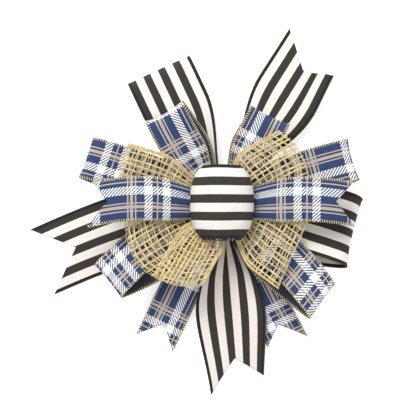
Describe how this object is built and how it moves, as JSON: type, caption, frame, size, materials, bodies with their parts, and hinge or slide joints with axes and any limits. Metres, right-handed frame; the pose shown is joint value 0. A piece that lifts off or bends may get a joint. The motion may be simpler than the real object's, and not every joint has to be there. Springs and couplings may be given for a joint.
{
  "type": "pre-made gift bow",
  "caption": "Layered gift bow of striped, plaid and open-weave jute wired ribbon, with folded loops, notched tails and a padded dome centre wrapped in striped ribbon.",
  "frame": {"origin": "centre of the felt back pad's flat back face, on the bow's axis", "axes": "+Z out of the front of the bow, +Y towards its top, +X to its right"},
  "size_m": [0.3114, 0.3453, 0.0779],
  "materials": {
    "striped_ribbon": "woven canvas, cream and heathered black stripes",
    "black_edging": "wired selvedge, matt",
    "plaid_ribbon": "printed cotton-look plaid",
    "gold_edging": "wired edge, metallic overlock stitch",
    "jute_mesh": "open weave of flat yarns",
    "jute_edging": "wired corded edge",
    "tie_wire": "chenille-covered wire",
    "felt": "pressed felt",
    "hot_glue": "cured hot glue",
    "card": "grey-board card",
    "padding": "polyester wadding"
  },
  "bodies": {
    "hub": {"dome_backing_plate": "card", "dome_ribbon_wrap": "striped_ribbon", "dome_wrap_end_left": "striped_ribbon", "dome_wrap_end_right": "striped_ribbon", "felt_back_pad": "felt", "front_gather": "plaid_ribbon", "glue_pad": "hot_glue", "jute_gather": "jute_mesh", "padded_dome": "padding", "side_gather": "plaid_ribbon", "striped_gather": "striped_ribbon", "tails_gather": "striped_ribbon", "tie_back_run": "tie_wire", "tie_wire_band": "tie_wire", "upper_gather": "plaid_ribbon"},
    "jute_loop_bottom": {"jute_loop_bottom": "jute_mesh", "jute_loop_bottom_edging": "jute_edging"},
    "jute_loop_left": {"jute_loop_left": "jute_mesh", "jute_loop_left_edging": "jute_edging"},
    "jute_loop_lower_left": {"jute_loop_lower_left": "jute_mesh", "jute_loop_lower_left_edging": "jute_edging"},
    "jute_loop_lower_right": {"jute_loop_lower_right": "jute_mesh", "jute_loop_lower_right_edging": "jute_edging"},
    "jute_loop_upper_right": {"jute_loop_upper_right": "jute_mesh", "jute_loop_upper_right_edging": "jute_edging"},
    "plaid_loop_left": {"plaid_loop_left": "plaid_ribbon", "plaid_loop_left_edging": "gold_edging"},
    "plaid_loop_lower_left": {"plaid_loop_lower_left": "plaid_ribbon", "plaid_loop_lower_left_edging": "gold_edging"},
    "plaid_loop_lower_right": {"plaid_loop_lower_right": "plaid_ribbon", "plaid_loop_lower_right_edging": "gold_edging"},
    "plaid_loop_right": {"plaid_loop_right": "plaid_ribbon", "plaid_loop_right_edging": "gold_edging"},
    "plaid_loop_upper_left": {"plaid_loop_upper_left": "plaid_ribbon", "plaid_loop_upper_left_edging": "gold_edging"},
    "plaid_loop_upper_right": {"plaid_loop_upper_right": "plaid_ribbon", "plaid_loop_upper_right_edging": "gold_edging"},
    "plaid_tail_front_left": {"plaid_tail_front_left": "plaid_ribbon", "plaid_tail_front_left_edging": "gold_edging"},
    "plaid_tail_front_right": {"plaid_tail_front_right": "plaid_ribbon", "plaid_tail_front_right_edging": "gold_edging"},
    "plaid_tail_lower_left": {"plaid_tail_lower_left": "plaid_ribbon", "plaid_tail_lower_left_edging": "gold_edging"},
    "plaid_tail_lower_right": {"plaid_tail_lower_right": "plaid_ribbon", "plaid_tail_lower_right_edging": "gold_edging"},
    "striped_loop_right": {"striped_loop_right": "striped_ribbon", "striped_loop_right_edging": "black_edging"},
    "striped_loop_upper_left": {"striped_loop_upper_left": "striped_ribbon", "striped_loop_upper_left_edging": "black_edging"},
    "striped_tail_bottom": {"striped_tail_bottom": "striped_ribbon", "striped_tail_bottom_edging": "black_edging"},
    "striped_tail_left": {"striped_tail_left": "striped_ribbon", "striped_tail_left_edging": "black_edging"},
    "striped_tail_upper_right": {"striped_tail_upper_right": "striped_ribbon", "striped_tail_upper_right_edging": "black_edging"},
    "tie_leg_left": {"tie_leg_left": "tie_wire"},
    "tie_leg_right": {"tie_leg_right": "tie_wire"}
  },
  "joints": [
    {"name": "jute_loop_bottom_fan", "type": "hinge", "parent": "hub", "child": "jute_loop_bottom", "pos_m": [0, 0, 0.03], "axis": [0, 0, 1], "range_deg": [-5, 5]},
    {"name": "jute_loop_left_fan", "type": "hinge", "parent": "hub", "child": "jute_loop_left", "pos_m": [0, 0, 0.03], "axis": [0, 0, 1], "range_deg": [-1.5, 1.5]},
    {"name": "jute_loop_lower_left_fan", "type": "hinge", "parent": "hub", "child": "jute_loop_lower_left", "pos_m": [0, 0, 0.03], "axis": [0, 0, 1], "range_deg": [-1.5, 1.5]},
    {"name": "jute_loop_lower_right_fan", "type": "hinge", "parent": "hub", "child": "jute_loop_lower_right", "pos_m": [0, 0, 0.03], "axis": [0, 0, 1], "range_deg": [-1.5, 1.5]},
    {"name": "jute_loop_upper_right_fan", "type": "hinge", "parent": "hub", "child": "jute_loop_upper_right", "pos_m": [0, 0, 0.03], "axis": [0, 0, 1], "range_deg": [-1.5, 1.5]},
    {"name": "plaid_loop_left_fan", "type": "hinge", "parent": "hub", "child": "plaid_loop_left", "pos_m": [0, 0, 0.03], "axis": [0, 0, 1], "range_deg": [-2, 2]},
    {"name": "plaid_loop_lower_left_fan", "type": "hinge", "parent": "hub", "child": "plaid_loop_lower_left", "pos_m": [0, 0, 0.03], "axis": [0, 0, 1], "range_deg": [-2, 2]},
    {"name": "plaid_loop_lower_right_fan", "type": "hinge", "parent": "hub", "child": "plaid_loop_lower_right", "pos_m": [0, 0, 0.03], "axis": [0, 0, 1], "range_deg": [-2, 2]},
    {"name": "plaid_loop_right_fan", "type": "hinge", "parent": "hub", "child": "plaid_loop_right", "pos_m": [0, 0, 0.03], "axis": [0, 0, 1], "range_deg": [-2, 2]},
    {"name": "plaid_loop_upper_left_fan", "type": "hinge", "parent": "hub", "child": "plaid_loop_upper_left", "pos_m": [0, 0, 0.03], "axis": [0, 0, 1], "range_deg": [-2, 2]},
    {"name": "plaid_loop_upper_right_fan", "type": "hinge", "parent": "hub", "child": "plaid_loop_upper_right", "pos_m": [0, 0, 0.03], "axis": [0, 0, 1], "range_deg": [-2, 2]},
    {"name": "plaid_tail_front_left_lift", "type": "hinge", "parent": "hub", "child": "plaid_tail_front_left", "pos_m": [-0.02979, -0.00052, 0.0495], "axis": [-0.0175, 0.9998, 0], "range_deg": [0, 45]},
    {"name": "plaid_tail_front_right_lift", "type": "hinge", "parent": "hub", "child": "plaid_tail_front_right", "pos_m": [0.02979, -0.00052, 0.0495], "axis": [-0.0175, -0.9998, 0], "range_deg": [0, 45]},
    {"name": "plaid_tail_lower_left_fan", "type": "hinge", "parent": "hub", "child": "plaid_tail_lower_left", "pos_m": [0, 0, 0.03], "axis": [0, 0, 1], "range_deg": [-8, 8]},
    {"name": "plaid_tail_lower_right_fan", "type": "hinge", "parent": "hub", "child": "plaid_tail_lower_right", "pos_m": [0, 0, 0.03], "axis": [0, 0, 1], "range_deg": [-8, 8]},
    {"name": "striped_loop_right_fan", "type": "hinge", "parent": "hub", "child": "striped_loop_right", "pos_m": [0, 0, 0.03], "axis": [0, 0, 1], "range_deg": [-4, 4]},
    {"name": "striped_loop_upper_left_fan", "type": "hinge", "parent": "hub", "child": "striped_loop_upper_left", "pos_m": [0, 0, 0.03], "axis": [0, 0, 1], "range_deg": [-4, 4]},
    {"name": "striped_tail_bottom_fan", "type": "hinge", "parent": "hub", "child": "striped_tail_bottom", "pos_m": [0, 0, 0.03], "axis": [0, 0, 1], "range_deg": [-8, 8]},
    {"name": "striped_tail_left_fan", "type": "hinge", "parent": "hub", "child": "striped_tail_left", "pos_m": [0, 0, 0.03], "axis": [0, 0, 1], "range_deg": [-8, 8]},
    {"name": "striped_tail_upper_right_fan", "type": "hinge", "parent": "hub", "child": "striped_tail_upper_right", "pos_m": [0, 0, 0.03], "axis": [0, 0, 1], "range_deg": [-8, 8]},
    {"name": "tie_leg_left_bend", "type": "hinge", "parent": "hub", "child": "tie_leg_left", "pos_m": [-0.0196, 0, 0.0023], "axis": [0, -1, 0], "range_deg": [0, 90]},
    {"name": "tie_leg_right_bend", "type": "hinge", "parent": "hub", "child": "tie_leg_right", "pos_m": [0.0196, 0, 0.0023], "axis": [0, 1, 0], "range_deg": [0, 90]}
  ]
}
